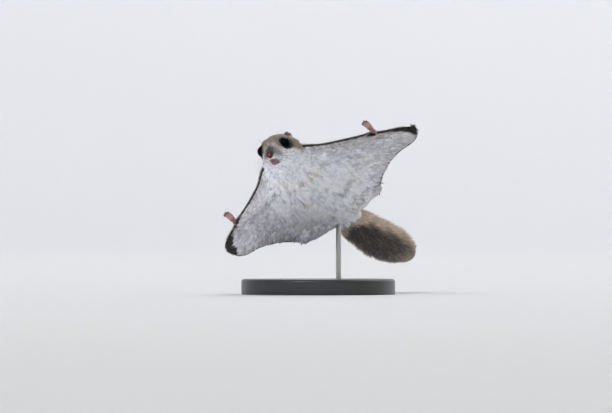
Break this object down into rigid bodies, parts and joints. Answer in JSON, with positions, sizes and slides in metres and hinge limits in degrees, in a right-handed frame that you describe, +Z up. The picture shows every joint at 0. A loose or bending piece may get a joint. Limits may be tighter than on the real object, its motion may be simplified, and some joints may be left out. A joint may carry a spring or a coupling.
{
  "type": "siberian flying squirrel on a display stand",
  "caption": "Life-size gliding flying squirrel with spread membranes and a flat bushy tail, banked on a rod over a round base.",
  "frame": {"origin": "centre of the underside of the stand's base", "axes": "+Z up. The camera that matches the picture looks along +Y. The squirrel heads towards -Y and -X, nose up and banked, its left wing high at +X"},
  "size_m": [0.1538, 0.2501, 0.1354],
  "materials": {
    "fur": "soft short fur, pale below, grey-brown above",
    "tail_fur": "long soft fur, dark centre with tan edges",
    "bare_skin": "bare pink skin, slightly moist",
    "eye": "glossy black",
    "claw": "dark horn",
    "base_lacquer": "satin black lacquer on turned wood",
    "rod_steel": "brushed steel"
  },
  "bodies": {
    "root": {"head": "fur", "neck": "fur", "torso": "fur", "tail": "tail_fur", "eye_left": "eye", "ear_left": "fur", "foreleg_left": "fur", "hand_left": "bare_skin", "hindleg_left": "fur", "hind_foot_left": "bare_skin", "front_membrane_left": "fur", "side_membrane_left": "fur", "eye_right": "eye", "ear_right": "fur", "foreleg_right": "fur", "hand_right": "bare_skin", "hindleg_right": "fur", "hind_foot_right": "bare_skin", "front_membrane_right": "fur", "side_membrane_right": "fur", "stand_base": "base_lacquer", "stand_rod": "rod_steel"}
  },
  "joints": []
}
